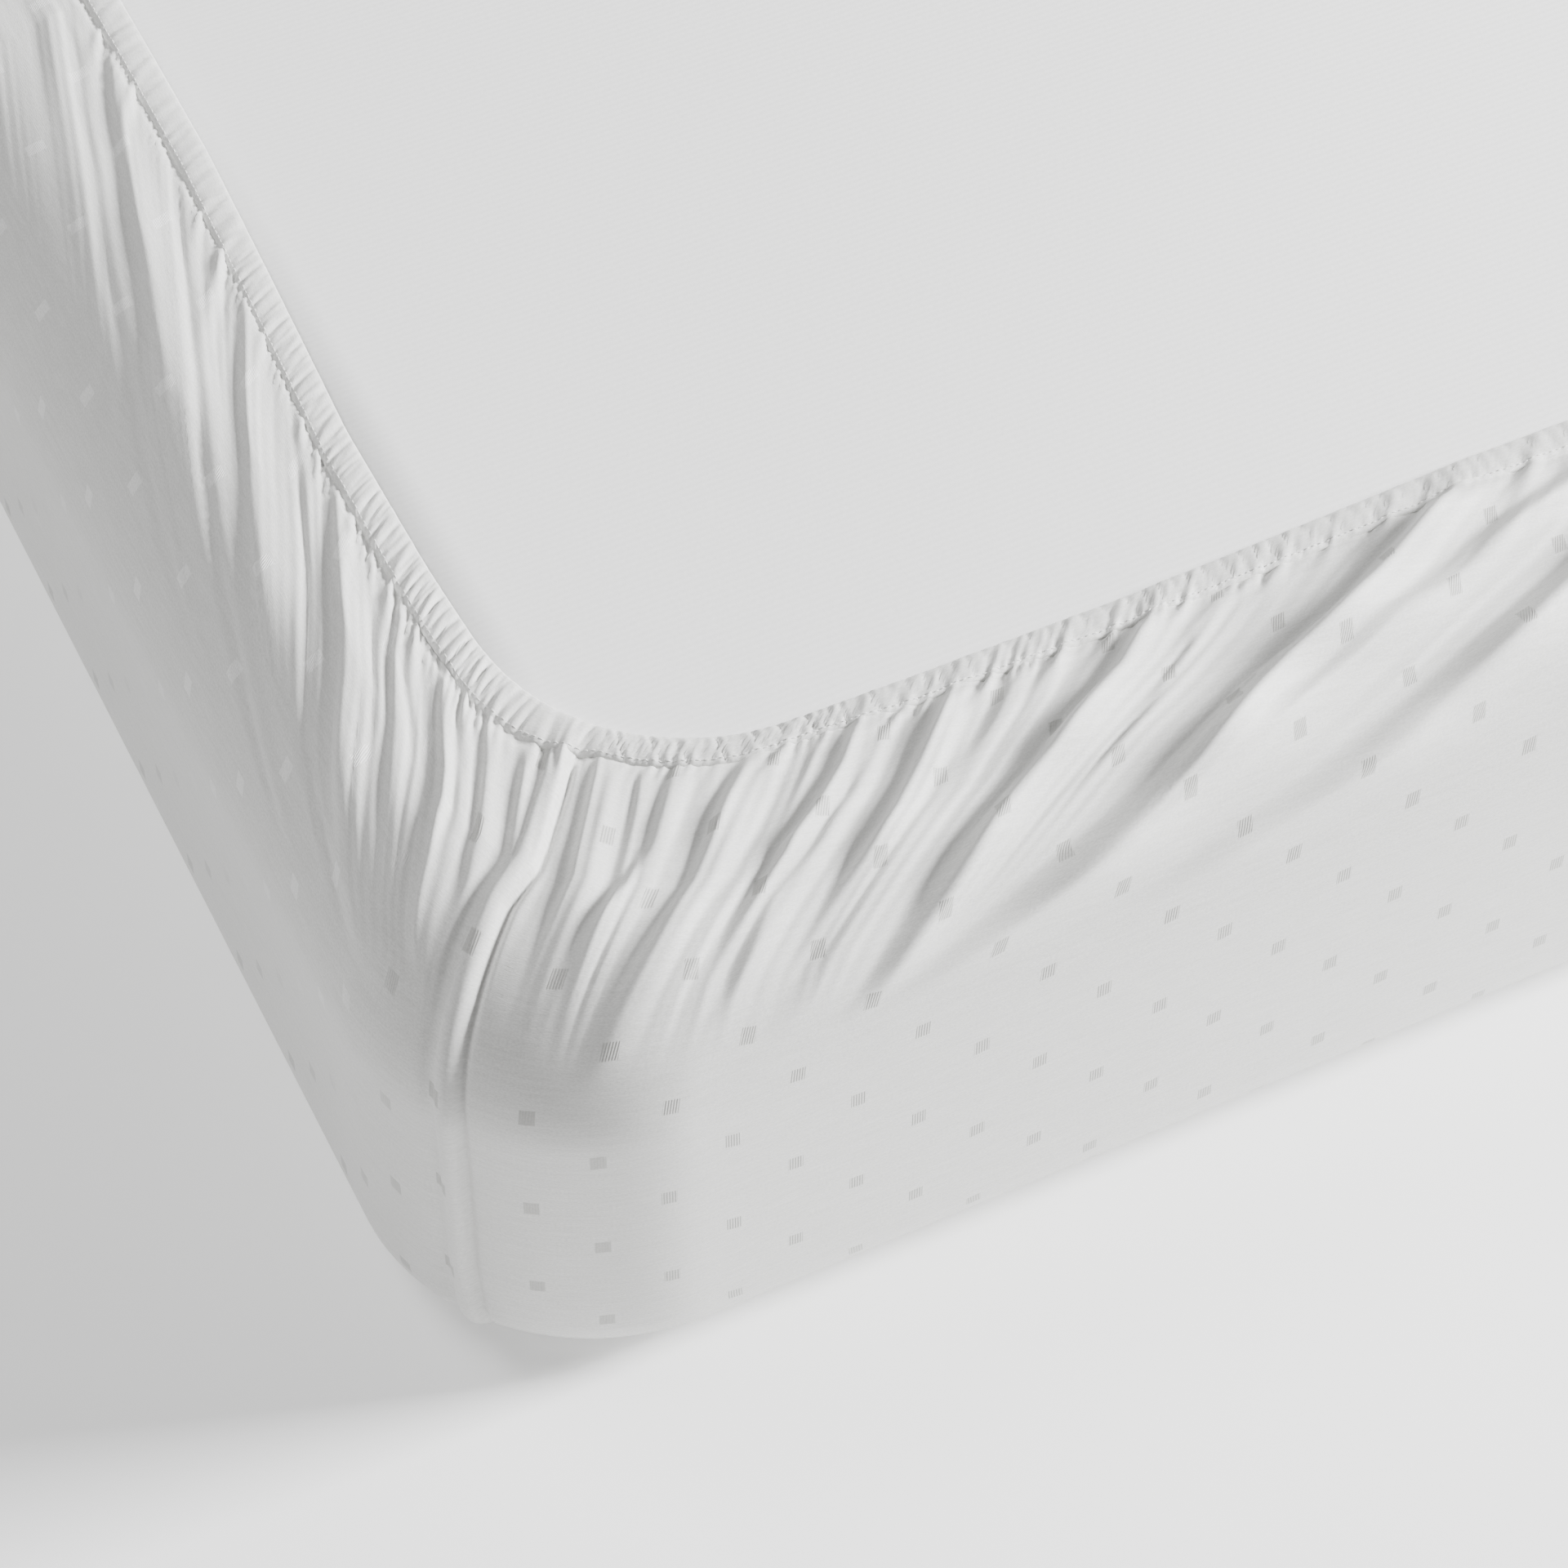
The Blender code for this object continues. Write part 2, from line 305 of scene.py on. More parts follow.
# Folds on a long side. Height, width of the steep face and of the gentle face are in mm,
# then the crest from the hem down as (distance from the corner seam, distance up the
# cloth from the floor) in cm.
SIDE_FOLDS = [
    (3.0, 5, 10, [(0.35, 30.5), (0.3, 27), (0.3, 22)]),
    (2.0, 3, 5, [(2.1, 30), (2.05, 27), (2.0, 25.5)]),
    (3.6, 5, 9, [(3.4, 30.2), (3.2, 29), (3.0, 27), (2.4, 25.5), (2.0, 24), (1.8, 22), (1.6, 20.5)]),
    (4.8, 7, 12, [(6.2, 30.3), (5.6, 28.5), (5.1, 26.5), (4.6, 24.5), (4.2, 22.5), (3.7, 20),
        (3.4, 18.6)]),
    (2.4, 4, 8, [(8.9, 29.8), (8.6, 28.6), (8.2, 27.6), (7.6, 26)]),
    (5.6, 7, 11, [(10.4, 29.8), (10, 28.2), (9.3, 26.8), (8.5, 26), (7.9, 25), (7.4, 23.8),
        (6.8, 22)]),
    (3.4, 5, 10, [(11.2, 29.8), (10.7, 27), (9.4, 25.3), (8.3, 24), (8.0, 22.7), (7.7, 21.3),
        (7.2, 19.6)]),
    (7.0, 8, 12, [(14.4, 29.8), (13.9, 28.3), (13.4, 27), (12.7, 25.5), (12, 24.2), (11.4, 23.3),
        (10.2, 21.3)]),
    (3.2, 10, 18, [(17.5, 29.5), (16.3, 27.5), (15.2, 26.3), (14.3, 25), (13, 23.3), (12.2, 22),
        (11.3, 20.5), (10.4, 18.6)]),
    (9.2, 9, 13, [(22.9, 29.8), (22.2, 28.7), (21.6, 27.7), (20.5, 26.8), (19.5, 26), (18.5, 25),
        (17.3, 23.7), (16, 22.3), (15, 21), (14.2, 19.5), (13.5, 18.4)]),
    (2.4, 6, 12, [(24.6, 27.6), (22, 24.8), (20, 23.5), (18.5, 22.3), (17, 21), (15.5, 20),
        (14.3, 18.8)]),
    (3.4, 6, 10, [(26.2, 29.8), (24.9, 28.5), (23.5, 27), (22.2, 25.8)]),
    (12.5, 12, 15, [(36.4, 30.2), (35, 29), (33.5, 28), (32.2, 27), (31, 26.2), (30, 25.7),
        (29, 25.3), (28, 24.7), (27, 24), (25.5, 22.9), (24, 22), (22, 21.1), (20, 20.2),
        (18, 19.3), (15.6, 18.2)]),
    (7.5, 14, 9, [(43, 28.8), (41, 28), (38, 27), (36, 26), (34, 25.5), (32, 24.5), (30, 23.8),
        (28, 23), (25, 21.9), (22, 20.6), (20, 19.5)]),
    (10.5, 13, 15, [(46, 26.6), (41, 24), (39, 23), (37, 22.2), (35, 21.2), (33, 20.6), (31, 20),
        (29, 19.3), (26.5, 18.2)]),
    (2.2, 8, 20, [(58, 28.5), (52, 26), (47, 24), (42, 22), (38, 20.3), (34, 18.6)]),
    (1.6, 7, 14, [(70, 29), (64, 27), (58, 25), (52, 23), (47, 21)]),
]
# Folds on an end. The line follows the middle of the steep face, which lies on the far side.
END_FOLDS = [
    (3.2, 5, 11, [(2.6, 28.2), (2.5, 27), (2.4, 24), (2.3, 21)]),
    (2.8, 4, 9, [(4.5, 28), (4.2, 27), (4.0, 26), (3.8, 25), (3.3, 24), (3.0, 23), (2.5, 21.4)]),
    (3.6, 6, 13, [(7.9, 28), (7.2, 26.8), (6.4, 26), (6, 25), (5.4, 24), (4.9, 23), (4.3, 22),
        (3.6, 21), (3.0, 19.6)]),
    (3.0, 5, 14, [(11.8, 27.8), (11.2, 26.5), (10.5, 25.7), (9.5, 24.8), (8.5, 24), (7.5, 23.3),
        (6.5, 22.5), (5.2, 21.2)]),
    (4.8, 7, 15, [(19, 27.8), (18, 27), (17, 26.3), (16, 25.7), (15, 25.2), (14, 24.6),
        (13, 23.9), (12, 23.3), (11, 22.7), (10, 22.2), (9, 21.5), (8, 21), (7, 20.4), (5.4, 19.4)]),
    (2.4, 6, 12, [(24.5, 27.9), (23, 27), (22, 26.5), (20.5, 25.7), (19, 24.8)]),
    (3.4, 7, 16, [(29.5, 28), (28, 27.1), (27, 26.4), (26, 25.8), (25, 25.3), (24, 24.8),
        (22, 24), (20, 23.3), (18, 22.6), (16, 22), (14.5, 21.4), (12.4, 20.4)]),
    (2.4, 6, 12, [(39.8, 28.5), (38, 27.6), (36.5, 27.1), (34.5, 26.3)]),
    (3.8, 7, 17, [(48, 29), (45, 28), (43, 27.1), (41, 26.5), (39, 25.9), (37, 25.4), (35, 24.8),
        (33, 24.3), (31, 23.6), (29, 23), (27, 22.5), (25, 22), (22, 21)]),
    (2.0, 8, 16, [(58, 28.6), (54, 27.4), (50, 26.2), (46, 25), (42, 23.8), (38, 22.6)]),
]
# Short tucks under the stitching: place at the stitching (cm), length down the cloth (cm),
# height (mm) and width (mm).
SIDE_TUCKS = [
    (7.3, 0.9, 1.6, 4), (12.3, 0.8, 1.8, 4), (13.3, 0.7, 1.4, 3), (15.9, 1.0, 2.0, 4), (16.8, 0.7, 1.2, 3),
    (18.9, 1.0, 2.0, 5), (21.0, 1.0, 2.0, 5), (24.1, 0.7, 1.4, 4), (26.9, 0.6, 1.4, 4), (28.1, 0.9, 1.8, 5),
    (30.3, 0.6, 1.0, 4), (32.8, 1.2, 2.2, 8), (34.5, 0.7, 1.4, 5), (39.2, 1.5, 2.2, 8), (43.5, 1.0, 1.5, 7),
    (48.0, 1.2, 1.6, 8), (53.0, 1.0, 1.4, 8),
]
END_TUCKS = [
    (5.8, 0.7, 1.2, 3), (10.0, 0.9, 1.6, 4), (12.6, 1.1, 2.2, 5), (14.4, 0.7, 1.2, 4), (16.5, 0.9, 1.6, 5),
    (20.2, 0.7, 1.4, 4), (22.0, 0.6, 1.1, 4), (26.6, 0.7, 1.2, 5), (31.5, 1.6, 2.2, 7), (34.0, 0.8, 1.2, 5),
    (42.0, 0.9, 1.4, 6), (46.0, 0.8, 1.3, 6),
]
# Sharp creases pressed into the flap of an end: depth (mm), then the line in cm as above.
END_CREASES = [
    (0.8, [(6, 27.3), (5.4, 26.5), (5.1, 25.5), (4.9, 24.5), (4.5, 23.5)]),
    (0.8, [(11, 27.5), (10.3, 26.5), (9, 25.9), (8.2, 25.2), (7.5, 24.4), (6.5, 23.4)]),
    (0.8, [(15, 27.5), (14, 26.7), (13, 26), (12, 25.2), (11, 24.7), (9.5, 23.9)]),
    (1.0, [(24, 27.9), (22, 26.9), (20, 26), (18, 25), (16, 24), (14.5, 23.2), (12, 22),
        (10, 21.3), (8, 20.4), (6.5, 19.5)]),
    (1.0, [(39.5, 28.4), (37, 27.8), (35, 27), (33, 26.3), (31, 25.5), (29, 24.8), (27, 24),
        (25, 23.4), (23, 22.8), (21, 22.3), (19, 21.7), (17, 21), (15, 20.3), (13, 19.5),
        (11.5, 19)]),
    (0.8, [(49, 27.2), (47, 26.8), (45, 26.1), (43, 25.6), (41, 25), (39, 24.4), (37, 23.9),
        (35, 23.5), (33, 23), (31, 22.6), (29, 22), (27, 21.5), (25, 20.9), (22, 20.2), (20, 19.7)]),
]
# The corner seam runs just round on the end: distance up the cloth and from the diagonal, cm.
SEAM_LINE = [(0, 0.40), (2, 0.55), (4, 0.85), (7, 1.10), (21, 1.10), (24, 1.35), (26, 0.9), (29, 0.5)]


# The finer relief, in metres, then how far apart the woven dots stand on a side and an end.
PLEAT_SIDE = 0.0018
PLEAT_END = 0.0012
PUCKER_SIDE = 0.00055
PUCKER_END = 0.00085
SEAM_BAND_WIDTH = 0.0095
SEAM_BAND_HEIGHT = 0.0025
SEAM_GROOVE_DEPTH = 0.0018
SEAM_HOLLOW_DEPTH = 0.0016
GROUND_FADE = 0.035
SIDE_DOTS_ALONG = 0.0495
SIDE_DOTS_UP = 0.048
END_DOTS_ALONG = 0.0537
END_DOTS_UP = 0.0525


def row_line(table, along, column):
    """A hem table read off at the places along, given in metres; each value eases into the next."""
    places = np.array([entry[0] for entry in table]) / 100
    values = np.array([entry[column] for entry in table])
    eased = np.linspace(0.0, places[-1], 200)
    rough = np.interp(eased, places, values)
    kernel = np.hanning(19) / np.hanning(19).sum()
    padded = np.concatenate([np.full(9, rough[0]), rough, np.full(9, rough[-1])])
    return np.interp(along, eased, np.convolve(padded, kernel, "valid"))


def off_line(along, up, line):
    """Distance of each point beyond a slanting line, square to it, and its share of the way up."""
    places = np.array(line[::-1]) / 100
    slope = np.gradient(places[:, 0], places[:, 1])
    crest = np.interp(up, places[:, 1], places[:, 0])
    lean = np.interp(up, places[:, 1], slope)
    share = (up - places[0, 1]) / (places[-1, 1] - places[0, 1])
    return (along - crest) / np.sqrt(1.0 + lean**2), share, up - places[0, 1], up - places[-1, 1]


def folds_height(along, up, table, steep_on_far_side):
    """Height of the folds over the lying cloth.

    Each fold rises over its steep face, falls away exponentially over its gentle one,
    narrows toward the hem and dies out at its foot. Overlapping folds join by a power mean.
    """
    total = np.zeros(np.broadcast(along, up).shape)
    for height, steep, gentle, line in table:
        beyond, share, over_foot, over_top = off_line(along, up, line)
        width = 1.25 - 0.50 * np.clip(share, 0.0, 1.0)
        rise_width, fall_width = 1.2 * steep / 1000 * width, gentle / 1000 * width
        if steep_on_far_side:
            beyond = -beyond - rise_width / 2
        rise = smooth(1.0 + beyond / rise_width)
        fall = np.exp(-((np.maximum(beyond, 0.0) / fall_width) ** 1.35))
        fade = smooth(over_foot / 0.045 + 0.05) * smooth(1.0 - over_top / 0.012)
        one = height / 1000 * fade * np.where(beyond < 0.0, rise, fall)
        total += one**2.4
    return total ** (1 / 2.4)


def along_folds(along, up, table, chosen):
    """A coordinate that stays the same along the folds; at the hem it is the place along it.

    Between two neighbouring fold lines it grows evenly from one line to the next.
    """
    lines = [[(0.0, 31), (0.0, 15)]] + [table[number][3] for number in chosen]
    total = np.zeros(np.broadcast(along, up).shape)
    for near, far in zip(lines[:-1], lines[1:]):
        start = np.interp(up, [p[1] / 100 for p in near[::-1]], [p[0] / 100 for p in near[::-1]])
        end = np.interp(up, [p[1] / 100 for p in far[::-1]], [p[0] / 100 for p in far[::-1]])
        share = np.clip((along - start) / np.maximum(end - start, 0.002), 0.0, 1.0)
        total += (far[0][0] - near[0][0]) / 100 * share
    return total + np.maximum(along - end, 0.0)


def tucks_height(along, under, table):
    """Short tucks, highest at the stitching and gone at their length under it."""
    total = np.zeros(np.broadcast(along, under).shape)
    for place, length, height, width in table:
        beyond = along - place / 100 + 0.5 * under
        spread = width / 1000 * (0.5 + 0.6 * under / (length / 100))
        face = np.exp(-((beyond / spread) ** 2)) - 0.45 * np.exp(-(((beyond + 1.7 * spread) / spread) ** 2))
        total += height / 1000 * face * np.exp(-((under / (length / 100)) ** 2))
    return total


def cloth_relief(along, up, under, corner, along_x):
    """How far the cloth stands out from its lying surface, in metres.

    Folds, the pleats along them, tucks and puckers under the stitching and soft waves add up,
    on an end also pressed creases and the seam's band. A hollow runs along the corner seam.
    All of it fades out near the floor.
    """
    spread, strength = corner["spacing"], corner["strength"]
    phase = 7.0 * spread + 3.0 * along_x
    place = along / spread
    level = smooth((up - tight_side_end) / 0.04)
    seam_up = np.array([entry[0] for entry in SEAM_LINE]) / 100
    seam_at = np.interp(up, seam_up, np.array([entry[1] for entry in SEAM_LINE]) / 100)
    beyond_seam = (-along if along_x else along) - seam_at
    wander = 0.0006 * np.sin(up * 95 + place * 38 + phase) + 0.0002 * np.sin(up * 230 - place * 71 + phase)
    table = SIDE_FOLDS if along_x else END_FOLDS
    folds = folds_height(place + wander * smooth(place / 0.02), up, table, not along_x)
    folds = folds * (1.0 + 0.14 * np.sin(up * 140 + place * 57 + phase))
    lines = (1, 3, 5, 7, 9, 12, 14, 16) if along_x else (0, 2, 3, 4, 6, 8, 9)
    across = along_folds(place, up, table, lines)
    turn = 2 * math.pi * across
    wobble = 0.9 * np.sin(across * 61 + phase) + 0.5 * np.sin(across * 23 + up * 30)
    pleat = 0.30 * np.abs(np.sin(turn / 0.0310 + wobble))
    pleat = pleat + 0.34 * np.sin(turn / 0.0131 + 2 * wobble + phase)
    pleat = pleat + 0.22 * np.abs(np.sin(turn / 0.0172 - 1.6 * wobble))
    pleat = pleat + 0.10 * np.sin(turn / 0.0062 + 3 * wobble)
    gathered = smooth((up - 0.190) / 0.05) * (0.45 + 0.55 * np.exp(-((place / 0.16) ** 2)))
    pleat = pleat * gathered * (0.75 + 0.25 * np.sin(across * 97 + up * 50))
    folds = folds + (PLEAT_SIDE if along_x else PLEAT_END) * pleat
    held = 1.0 - 0.30 * np.exp(-((under / 0.005) ** 2)) - 0.30 * np.exp(-((under / 0.016) ** 2))
    total = folds * held
    tucks = tucks_height(place, under, SIDE_TUCKS if along_x else END_TUCKS)
    total = total + tucks * np.exp(-((under / 0.03) ** 2))
    near = np.exp(-((under / 0.005) ** 2))
    pucker = np.sin(place * 2 * math.pi / 0.0052 + 1.3 * np.sin(place * 90 + phase) + 200 * under)
    pucker = pucker * (0.6 + 0.4 * np.sin(place * 131 + phase))
    pucker = pucker * near * (1.0 - 0.5 * smooth(place / 0.6))
    total = total + (PUCKER_SIDE if along_x else PUCKER_END) * pucker
    soft = np.sin(place * 31 + up * 40 + phase) + np.sin(place * 17 - up * 23 + 2 * phase)
    total = total + 0.0004 * soft * level
    if not along_x:
        for depth, line in END_CREASES:
            beyond, _, over_foot, over_top = off_line(place, up, line)
            fade = smooth(over_foot / 0.02) * smooth(1.0 - over_top / 0.006)
            lips = np.exp(-((beyond / 0.0065) ** 2)) - 1.6 * np.exp(-((beyond / 0.0030) ** 2))
            total = total + depth / 1000 * fade * lips
        band = np.sin(math.pi * np.clip(beyond_seam / SEAM_BAND_WIDTH, 0.0, 1.0)) ** 0.6
        band = band - 0.4 * np.exp(-(((beyond_seam - 0.0125) / 0.0030) ** 2))
        total = total + SEAM_BAND_HEIGHT * band
        total = total - SEAM_GROOVE_DEPTH * np.exp(-(((beyond_seam + 0.0008) / 0.0015) ** 2))
    hollow = np.exp(-((beyond_seam / np.where(beyond_seam < 0.0, 0.017, 0.0025)) ** 2))
    hollow = hollow * smooth((up - 0.02) / 0.10) * smooth((0.27 - up) / 0.09)
    total = total * strength * smooth(along / 0.004) - SEAM_HOLLOW_DEPTH * hollow
    return total * smooth(up / GROUND_FADE)


def cloth_columns(corner, along_x, length):
    """Places along half a side, from 0 to 1, close together by the corner seam and in fours."""
    steps = [(0.03, 0.0010), (0.10, 0.0013), (0.56, 0.0023)]
    if along_x:
        steps = [(0.03, 0.0010), (0.30, 0.0015), (0.56, 0.0021)]
    if corner is not CORNERS[0]:
        steps = [(0.03, 0.0020), (0.30, 0.0027), (0.50, 0.0045)]
    steps.append((length, 0.012))
    places, start = [np.zeros(1)], 0.0
    for end, step in steps:
        count = 4 * max(1, round((end - start) / step / 4))
        places.append(np.linspace(start, end, count + 1)[1:])
        start = end
    return np.concatenate(places) / length


def dot_places(along, up, total, along_x):
    """Position in the lattice of woven dots, one unit from dot to dot, in both directions.

    The pull of the corner lifts the rows by the seam and far from it, and the elastic
    carries the dots of the flap toward the corner.
    """
    pulled = along + 0.014 * smooth((up - 0.19) / 0.08) * smooth(along / 0.08) * (1.0 - along / total)
    if along_x:
        lift = np.interp(along, [0, 0.04, 0.065, 0.09, 0.14, 0.165, 0.21, 0.26, 0.31, 0.41],
                         [0.008, 0.013, 0.011, 0.005, 0, 0, 0.0045, 0.0085, 0.015, 0.022])
        lift = lift - 0.0065 * np.sin(math.pi * np.clip(up / 0.165, 0.0, 1.0))
        full = 0.064 + 18.5 * SIDE_DOTS_ALONG
        return (pulled / total * full - 0.064) / SIDE_DOTS_ALONG, (up - lift - 0.166) / SIDE_DOTS_UP
    at_corner = 1.0 - smooth(along / 0.12)
    pulled = pulled - 0.012 * at_corner
    full = 0.063 + 11.5 * END_DOTS_ALONG
    row = (up + 0.014 * at_corner - 0.187) / END_DOTS_UP
    return (pulled / total * full - 0.063) / END_DOTS_ALONG, row


low_arc = BOTTOM_RADIUS * math.pi / 2
low_rows = np.concatenate([np.linspace(0, low_arc, 21), np.linspace(low_arc, side_end, 25)[1:]])
shoulder_rows = side_end + (flap_start - side_end) * np.linspace(0, 1, 65)[1:] ** 0.9
level_shares = np.concatenate([np.linspace(0, 1, 31)[1:] ** 0.95, [1.02, 1.04]])
tight_side_end = side_end + SHOULDER_RADIUS - TIGHT_SHOULDER
tight_start = tight_side_end + TIGHT_SHOULDER * math.pi / 2 + SHOULDER_RADIUS - TIGHT_SHOULDER


def table_up(run):
    """Distance up the cloth as the tables measure it, from the true distance up it."""
    built = [0.0, side_end, flap_start, flap_start + 1.0]
    tight = [0.0, side_end, tight_start, tight_start + 1.0]
    return np.interp(run, built, tight)


def cloth_patch(corner, along_x, backwards):
    """Half a side of the cloth: up the side from the floor, over the shoulder, in to the stitching."""
    length = half_of_side(corner, along_x, np.ones(1), 0.0, 0.0, 0.0)[3]
    places = cloth_columns(corner, along_x, length)
    table = HEM_ON_SIDE if along_x else HEM_ON_END
    stitched = row_line(table, places * length / corner["spacing"], 1)
    run = np.concatenate([low_rows, shoulder_rows])
    inset, height, tilt = edge_profile(run, BOTTOM_RADIUS, SHOULDER_RADIUS, flap_height)
    depth = FLAP_SIDE if along_x else FLAP_END
    level_end = SHOULDER_RADIUS + level_shares[:, None] * (FLAP_END * stitched - SHOULDER_RADIUS)[None, :]
    level_side = SHOULDER_RADIUS + level_shares[:, None] * (FLAP_SIDE * stitched - SHOULDER_RADIUS)[None, :]
    flat = np.ones_like(places)[None, :]
    end = np.concatenate([inset[:, None] * flat, level_end])
    side = np.concatenate([inset[:, None] * flat, level_side])
    level = (level_side if along_x else level_end) - SHOULDER_RADIUS
    run = np.concatenate([run[:, None] * flat, flap_start + level])
    height = np.concatenate([height[:, None] * flat, np.full(level.shape, flap_height)])
    tilt = np.concatenate([tilt[:, None] * flat, np.full(level.shape, math.pi / 2)])
    under = np.maximum(flap_start + (depth * stitched - SHOULDER_RADIUS)[None, :] - run, 0.0)
    up = table_up(run)
    plan, outward, along, total = half_of_side(corner, along_x, places[None, :], end, side, 0.0)
    rounded = np.sin(2 * np.clip(tilt, 0.0, math.pi / 2)) ** 2 * smooth(along / 0.01)
    off_corner = smooth(along / 0.10)
    up = up + (0.0014 if along_x else 0.0047) * rounded * off_corner
    shift = 0.0053 * off_corner - 0.0023 if along_x else 0.0023 + 0.0054 * off_corner
    folded_at = along - shift * rounded
    relief = cloth_relief(folded_at, up, under, corner, along_x)
    relief = relief - 0.0012 * np.exp(-((under / 0.0016) ** 2))
    points = np.empty(up.shape + (3,))
    points[..., :2] = plan + outward * (relief * np.cos(tilt))[..., None]
    points[..., 2] = height + relief * np.sin(tilt)
    dots = np.stack(dot_places(folded_at, up, total, along_x), axis=-1)
    # Share of the dots' painted sheen: none on a long side, where they are painted darker, rising on an end
    # away from the corner seam and the floor, where they are painted lighter.
    turned = 0.0 * along if along_x else smooth((along - 0.03) / 0.05) * smooth((up - 0.04) / 0.15)
    cloth = np.stack([along, run], axis=-1)
    cell = np.full((up.shape[0] - 1, places.size - 1), 2)
    if corner is CORNERS[0]:
        cell[:, places[:-1] * length < 0.5599] = 1
    cell[: low_rows.size - 1] = 4
    if not along_x:
        cell[: low_rows.size - 1, places[:-1] * length < 0.0299] = 1 if corner is CORNERS[0] else 2
    if backwards:
        points, dots, cloth, cell = points[:, ::-1], dots[:, ::-1], cloth[:, ::-1], cell[:, ::-1]
        turned = turned[:, ::-1]
    return {"points": points, "cloth": cloth, "dots": dots, "cell": cell, "turned": turned,
            "backwards": backwards}


def cells_mesh(name, patches):
    """One mesh from patches whose cells are 1, 2 or 4 steps wide, closed underneath by one face.

    A cell's face takes in every point its finer neighbours use on its border, so that
    no gap is left where the cell size changes. In a backwards patch the faces start at
    another corner, so that their diagonals lean with the folds there too.
    """
    widths = [patch["points"].shape[1] - 1 for patch in patches]
    starts, width = np.cumsum([0] + widths), sum(widths)
    rows = patches[0]["points"].shape[0]
    vertices = np.concatenate([patch["points"][:, :-1] for patch in patches], axis=1).reshape(-1, 3)
    used = np.zeros(rows * width, bool)
    borders = []
    for patch, start in zip(patches, starts):
        for step in (1, 2, 4):
            row, column = np.nonzero(patch["cell"][::step, ::step] == step)
            row, column = row[:, None] * step, column[:, None] * step
            up, none, full = np.arange(step), np.zeros(step, int), np.full(step, step)
            rows_round = row + np.concatenate([none, up, full, step - up])
            columns_round = column + np.concatenate([up, full, step - up, none])
            if patch["backwards"]:
                rows_round = np.roll(rows_round, -step, axis=1)
                columns_round = np.roll(columns_round, -step, axis=1)
            index = rows_round * width + (start + columns_round) % width
            used[index[:, ::step]] = True
            borders.append((patch, rows_round, columns_round, index))
    loops, counts, cloth, dots = [], [], [], []
    for patch, rows_round, columns_round, index in borders:
        kept = used[index]
        loops.append(index[kept])
        counts.append(kept.sum(axis=1))
        cloth.append(patch["cloth"][rows_round[kept], columns_round[kept]])
        dots.append(patch["dots"][rows_round[kept], columns_round[kept]])
    ring = np.nonzero(used[:width])[0][::-1]
    loops.append(ring)
    counts.append(np.array([ring.size]))
    cloth.append(vertices[ring, :2])
    dots.append(vertices[ring, :2] / 0.05)
    loops, counts = np.concatenate(loops), np.concatenate(counts)
    renumbered = np.cumsum(used) - 1
    mesh = bpy.data.meshes.new(name)
    mesh.vertices.add(int(used.sum()))
    mesh.vertices.foreach_set("co", vertices[used].astype(np.float32).ravel())
    mesh.loops.add(loops.size)
    mesh.loops.foreach_set("vertex_index", renumbered[loops].astype(np.int32))
    mesh.polygons.add(counts.size)
    mesh.polygons.foreach_set("loop_start", (np.cumsum(counts) - counts).astype(np.int32))
    mesh.update(calc_edges=True)
    # Each point carries its share of the dots' painted sheen as an attribute.
    turned = np.concatenate([patch["turned"][:, :-1] for patch in patches], axis=1).ravel()
    attribute = mesh.attributes.new("turned", "FLOAT", "POINT")
    attribute.data.foreach_set("value", turned[used].astype(np.float32))
    for title, spots in (("cloth", cloth), ("dots", dots)):
        layer = mesh.uv_layers.new(name=title)
        layer.data.foreach_set("uv", np.concatenate(spots).astype(np.float32).ravel())
    mesh.shade_smooth()
    thing = bpy.data.objects.new(name, mesh)
    bpy.context.scene.collection.objects.link(thing)
    return thing


# A woven dot, in metres, and the one lattice step it is sized by on sides and ends alike.
DOT_WIDE = 0.0058
DOT_TALL = 0.0065
SIZING_STEP_WIDE = 0.0495
SIZING_STEP_TALL = 0.0490


